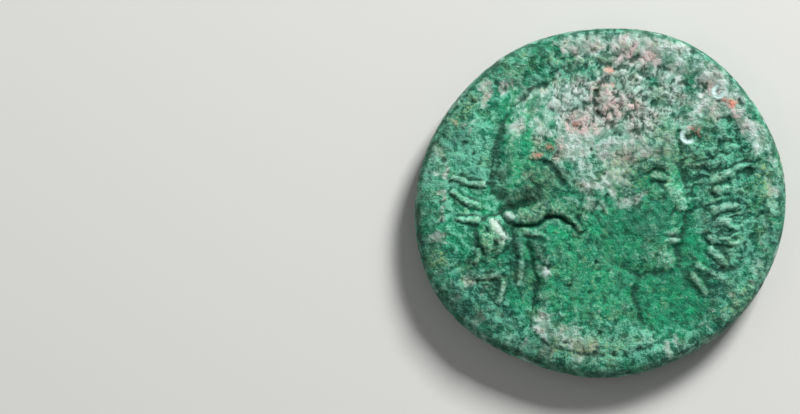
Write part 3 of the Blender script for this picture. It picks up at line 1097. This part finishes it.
def mineral_grain_group():
    """Grain of a mineral crust, in millimetres on Object coordinates: slow patches, warmer and cooler
    clouds, grains, fine speckle, rounded granules and each granule's own tone, all from 0 to 1."""
    group = bpy.data.node_groups.new("mineral_grain", "ShaderNodeTree")
    size = group.interface.new_socket("Grain Size", in_out="INPUT", socket_type="NodeSocketFloat")
    size.default_value = 1.0
    for name in GRAIN_KINDS:
        group.interface.new_socket(name, in_out="OUTPUT", socket_type="NodeSocketFloat")
    sheet = NodeSheet(group)
    entry = sheet.add("NodeGroupInput")
    place = sheet.add("ShaderNodeTexCoord").outputs["Object"]
    per_mm = sheet.math("DIVIDE", 1 / MM, entry.outputs["Grain Size"])
    scaled = sheet.add("ShaderNodeVectorMath", {0: place, "Scale": per_mm}, operation="SCALE").outputs[0]

    def noise(scale, detail, roughness=0.6, distortion=0.0):
        """Layered noise with `scale` features to the millimetre."""
        return sheet.add("ShaderNodeTexNoise", {
            "Vector": scaled, "Scale": scale, "Detail": detail, "Roughness": roughness,
            "Distortion": distortion})

    cloud = noise(0.9, 6.0, 0.62).outputs["Color"]
    clouds = sheet.add("ShaderNodeSeparateColor", {"Color": cloud}).outputs
    wander = sheet.add("ShaderNodeVectorMath", {0: noise(3.0, 4.0).outputs["Color"], "Scale": 0.9},
                       operation="SCALE").outputs[0]
    strayed = sheet.add("ShaderNodeVectorMath", {0: scaled, 1: wander}, operation="ADD").outputs[0]
    grit = sheet.add("ShaderNodeTexVoronoi", {"Vector": strayed, "Scale": 5.2}).outputs
    sheet.add("NodeGroupOutput", {
        "Patches": sheet.between(noise(0.7, 7.0, 0.6, distortion=0.3).outputs[0], 0.36, 0.64),
        "Warmth": sheet.between(clouds["Red"], 0.46, 0.66),
        "Coolness": sheet.between(clouds["Green"], 0.46, 0.66),
        "Grains": sheet.between(noise(2.1, 5.0, 0.66, distortion=0.2).outputs[0], 0.35, 0.65),
        "Speckle": sheet.between(noise(5.0, 4.0, 0.7).outputs[0], 0.34, 0.66),
        "Granule": sheet.between(grit["Distance"], 0.7, 0.05),
        "Tone": sheet.add("ShaderNodeSeparateColor", {"Color": grit["Color"]}).outputs["Red"]})
    return group


def patina_colour_group():
    """The crust's colour from its grain and masks: greens first, then worn stone, earth, crevices and
    bare spots over them."""
    group = bpy.data.node_groups.new("patina_colour", "ShaderNodeTree")
    for name in TINTS:
        group.interface.new_socket(tint_name(name), in_out="INPUT", socket_type="NodeSocketColor")
    for name in (*GRAIN_KINDS, *map(str.title, MASKS)):
        group.interface.new_socket(name, in_out="INPUT", socket_type="NodeSocketFloat")
    group.interface.new_socket("Colour", in_out="OUTPUT", socket_type="NodeSocketColor")
    sheet = NodeSheet(group)
    plus, times, between, mix = sheet.plus, sheet.times, sheet.between, sheet.mix
    given = sheet.add("NodeGroupInput").outputs
    tint = {name: given[tint_name(name)] for name in TINTS}
    patches, warmth, coolness, grains, speckle, granule, tone = (given[name] for name in GRAIN_KINDS)
    worn, pocket, mist, raised = given["Worn"], given["Smooth"], given["Mist"], given["Raised"]

    # Green that turns teal where it is dull, and emerald in the smooth pockets.
    dull = plus(given["Teal"], between(patches, 0.85, 0.15, -0.1, 0.7))
    base = mix(times(dull, 0.85, clamp=True), tint["green"], tint["teal"])
    base = mix(times(pocket, between(patches, 0.1, 0.8, 0.55, 1.0)), base, tint["emerald"])

    # The grey-green film, thin over the pockets, then warmer and cooler clouds.
    film = plus(mist, between(grains, 0.0, 1.0, -0.5, 0.55))
    film = plus(film, between(speckle, 0.0, 1.0, -0.09, 0.09))
    film = sheet.math("SUBTRACT", film, times(pocket, 0.55))
    base = mix(between(film, 0.1, 0.95, 0.0, 0.9), base, tint["mist"])
    clouded = between(pocket, 0.0, 0.8, 0.42, 0.1)
    base = mix(times(warmth, clouded), base, tint["olive"])
    base = mix(times(coolness, clouded), base, tint["slate"])

    # Dark between the grains and round the granules, and pale granules.
    deep = between(grains, 0.42, 0.0, 0.0, 0.72)
    deep = times(deep, between(pocket, 0.0, 1.0, 1.0, 0.9))
    deep = times(deep, between(mist, 0.3, 1.0, 1.0, 0.5))
    base = mix(deep, base, tint["crevice"])
    gap = times(between(granule, 0.35, 0.0), between(tone, 1.0, 0.3))
    base = mix(times(gap, 0.28), base, tint["crevice"])
    bright = times(between(tone, 0.55, 0.85), between(granule, 0.2, 0.7))
    bright = times(bright, between(grains, 0.3, 0.8))
    bright = times(bright, between(pocket, 0.0, 1.0, 0.36, 0.6))
    base = mix(bright, base, tint["mint"])

    # Where the crust is worn: grey-green up to stone, stained brown, green or olive, or pink.
    lifted = plus(raised, between(grains, 0.1, 0.9))
    ground = mix(between(lifted, 0.1, 1.3), tint["thin"], tint["stone"])
    ground = mix(times(warmth, 0.6), ground, tint["umber"])
    ground = mix(times(coolness, 0.45), ground, tint["mist"])
    stain = times(given["Ochre"], between(patches, 0.2, 0.8, 0.3, 1.0), clamp=True)
    ground = mix(stain, ground, tint["olive"])
    pink = times(given["Blush"], between(grains, 0.0, 0.8, 0.4, 1.1), clamp=True)
    ground = mix(pink, ground, tint["blush"])
    thin = plus(worn, between(patches, 0.0, 1.0, -0.24, 0.16))
    thin = plus(thin, between(grains, 0.0, 1.0, -0.14, 0.14))
    thin = times(between(thin, -0.1, 1.05, 0.0, 0.94), between(worn, 0.0, 0.35))
    base = mix(thin, base, ground)

    # Rubbed grains, then earth, crevices, bare copper and the pale rings.
    rubbed = times(raised, between(speckle, 0.2, 0.8, 0.1, 0.65))
    rubbed = times(rubbed, between(worn, 0.0, 0.6, 1.0, 0.4))
    base = mix(rubbed, base, tint["mint"])
    earth = times(given["Ochre"], between(speckle, 0.35, 0.8))
    earth = times(earth, between(grains, 0.2, 0.6, 0.2, 1.4), clamp=True)
    base = mix(earth, base, tint["ochre"])
    base = mix(times(given["Crevice"], 0.9), base, tint["crevice"])
    base = mix(times(given["Copper"], between(grains, 0.1, 0.55)), base, tint["copper"])
    base = mix(given["Pale"], base, tint["pale"])
    sheet.add("NodeGroupOutput", {"Colour": base})
    return group


def patina_material(colours):
    """Patinated bronze: a matt mineral crust, glossier in smooth pockets, metal only in bare spots."""
    material = bpy.data.materials.new("patinated_bronze")
    material.use_nodes = True
    sheet = NodeSheet(material.node_tree)
    plus, times, between = sheet.plus, sheet.times, sheet.between
    grain = sheet.add("ShaderNodeGroup", node_tree=mineral_grain_group()).outputs
    masks = {name.title(): sheet.attribute(name) for name in MASKS}
    crust = sheet.add("ShaderNodeGroup", {
        **{tint_name(name): rgba(getattr(colours, name)) for name in TINTS},
        **{name: grain[name] for name in GRAIN_KINDS},
        **masks,
    }, node_tree=patina_colour_group())

    gloss = times(sheet.math("MAXIMUM", masks["Smooth"], masks["Pale"]), 0.1)
    roughness = sheet.math("SUBTRACT", between(grain["Tone"], 0.0, 1.0, 0.75, 0.32), gloss)
    crumbs = times(grain["Granule"], between(grain["Tone"], 0.0, 1.0, 0.0, 0.35))
    crumbs = times(crumbs, between(masks["Worn"], 0.1, 0.7, 1.0, 0.3))
    height = plus(plus(times(grain["Speckle"], 0.2), times(grain["Grains"], 0.8)), crumbs)
    height = times(height, between(masks["Smooth"], 0.0, 1.0, 1.0, 0.4))
    height = times(height, between(masks["Worn"], 0.1, 0.8, 1.0, 0.55))
    bump = sheet.add("ShaderNodeBump", {"Strength": 1.0, "Distance": GRAIN_HEIGHT, "Height": height})
    shader = sheet.add("ShaderNodeBsdfPrincipled", {
        "Base Color": crust.outputs["Colour"], "Roughness": roughness,
        "Metallic": times(masks["Copper"], 0.35), "Specular IOR Level": 0.25,
        "Normal": bump.outputs["Normal"]})
    sheet.add("ShaderNodeOutputMaterial", {"Surface": shader.outputs[0]})
    return material


# ---- Operator: the stage ----


VIEW_SHARE = 2.13  # width of the view, in widths of the coin
VIEW_ASIDE = -0.252  # where the view's middle lies from the coin's, along x, in widths of the view
VIEW_DOWN = -0.005  # the same along y
FLOOR_HALF = 0.6  # half the floor's side, in metres
SKY_STRENGTH = 0.2
# Where each light hangs: its direction from the coin, its distance and its side, in metres.
KEY_PLACE = ((0.45, 0.80, 0.70), 0.35, 0.1)
FILL_PLACE = ((-0.7, 0.1, 0.75), 0.4, 0.35)


class CoinStage(bpy.types.PropertyGroup):
    """The floor, the lights and the camera."""

    floor: colour_property("Floor", "Colour of the plain floor", (0.60, 0.60, 0.58))
    key_power: bpy.props.FloatProperty(
        name="Key Light", description="Power of the soft light from the upper right", default=1.95,
        min=0.0, unit="POWER")
    fill_power: bpy.props.FloatProperty(
        name="Fill Light", description="Power of the wide light from the left", default=0.15,
        min=0.0, unit="POWER")
    view_width: bpy.props.FloatProperty(
        name="View Width", description="Width of the floor that the camera sees",
        default=VIEW_SHARE * (CAD_HIGH.x - CAD_LOW.x), min=0.01, precision=5, unit="LENGTH")
    lens: bpy.props.FloatProperty(
        name="Lens", description="Focal length of the camera", default=200.0, min=20.0, unit="CAMERA")


def plain_floor(colour):
    """A wide plain square of floor at the resting plane."""
    corners = [(-1, -1), (1, -1), (1, 1), (-1, 1)]
    mesh = bpy.data.meshes.new("floor")
    mesh.from_pydata([(x * FLOOR_HALF, y * FLOOR_HALF, 0) for x, y in corners], [], [(0, 1, 2, 3)])
    floor = bpy.data.objects.new("floor", mesh)
    material = bpy.data.materials.new("floor")
    material.use_nodes = True
    shader = material.node_tree.nodes["Principled BSDF"]
    shader.inputs["Base Color"].default_value = rgba(colour)
    shader.inputs["Roughness"].default_value = 0.9
    mesh.materials.append(material)
    bpy.context.scene.collection.objects.link(floor)


def soft_light(name, place, power):
    """A square area light that looks at the coin from its place."""
    towards, distance, size = place
    data = bpy.data.lights.new(name, "AREA")
    data.size = size
    data.energy = power
    light = bpy.data.objects.new(name, data)
    direction = Vector(towards).normalized()
    light.location = direction * distance
    light.rotation_euler = direction.to_track_quat("Z", "Y").to_euler()
    bpy.context.scene.collection.objects.link(light)


def pale_sky(strength):
    """An even white light from all round."""
    world = bpy.data.worlds.new("studio")
    world.use_nodes = True
    background = world.node_tree.nodes["Background"]
    background.inputs["Color"].default_value = (1, 1, 1, 1)
    background.inputs["Strength"].default_value = strength
    bpy.context.scene.world = world


def add_camera(settings):
    """A long-lens camera straight above, with the coin in the right half of its view."""
    data = bpy.data.cameras.new("camera")
    data.lens = settings.lens
    data.clip_start = 0.01
    data.clip_end = 10
    camera = bpy.data.objects.new("camera", data)
    width = settings.view_width
    height = CAD_HIGH.z + width * settings.lens / data.sensor_width
    camera.location = (VIEW_ASIDE * width, VIEW_DOWN * width, height)
    bpy.context.scene.collection.objects.link(camera)
    bpy.context.scene.camera = camera


class COIN_OT_stage(bpy.types.Operator):
    """Lay out the pale floor, the soft lights and the camera over the coin"""

    bl_idname = "coin.stage"
    bl_label = "Lay Out Stage"

    def execute(self, context):
        settings = context.scene.coin_stage
        plain_floor(settings.floor)
        soft_light("key_light", KEY_PLACE, settings.key_power)
        soft_light("fill_light", FILL_PLACE, settings.fill_power)
        pale_sky(SKY_STRENGTH)
        context.scene.view_settings.view_transform = "Standard"
        add_camera(settings)
        return {"FINISHED"}


class COIN_PT_panel(bpy.types.Panel):
    """Lists the coin's settings and its operators"""

    bl_idname = "COIN_PT_panel"
    bl_label = "Bronze Coin"
    bl_space_type = "VIEW_3D"
    bl_region_type = "UI"
    bl_category = "Coin"

    def draw(self, context):
        boxes = (("coin_shape", "coin.strike"), ("coin_patina", None), ("coin_stage", "coin.stage"))
        for settings, operator in boxes:
            group = getattr(context.scene, settings)
            box = self.layout.box()
            for name in group.bl_rna.properties.keys():
                if name not in ("rna_type", "name"):
                    box.prop(group, name)
            if operator:
                box.operator(operator)


CLASSES = (CoinShape, CoinPatina, CoinStage, COIN_OT_strike, COIN_OT_stage, COIN_PT_panel)


def register():
    """Adds the classes and their settings to Blender."""
    for cls in CLASSES:
        bpy.utils.register_class(cls)
    bpy.types.Scene.coin_shape = bpy.props.PointerProperty(type=CoinShape)
    bpy.types.Scene.coin_patina = bpy.props.PointerProperty(type=CoinPatina)
    bpy.types.Scene.coin_stage = bpy.props.PointerProperty(type=CoinStage)


def unregister():
    """Takes the settings and classes away again."""
    del bpy.types.Scene.coin_stage
    del bpy.types.Scene.coin_patina
    del bpy.types.Scene.coin_shape
    for cls in reversed(CLASSES):
        bpy.utils.unregister_class(cls)


def main():
    """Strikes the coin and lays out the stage."""
    register()
    bpy.ops.coin.strike()
    bpy.ops.coin.stage()


if __name__ == "__main__":
    main()
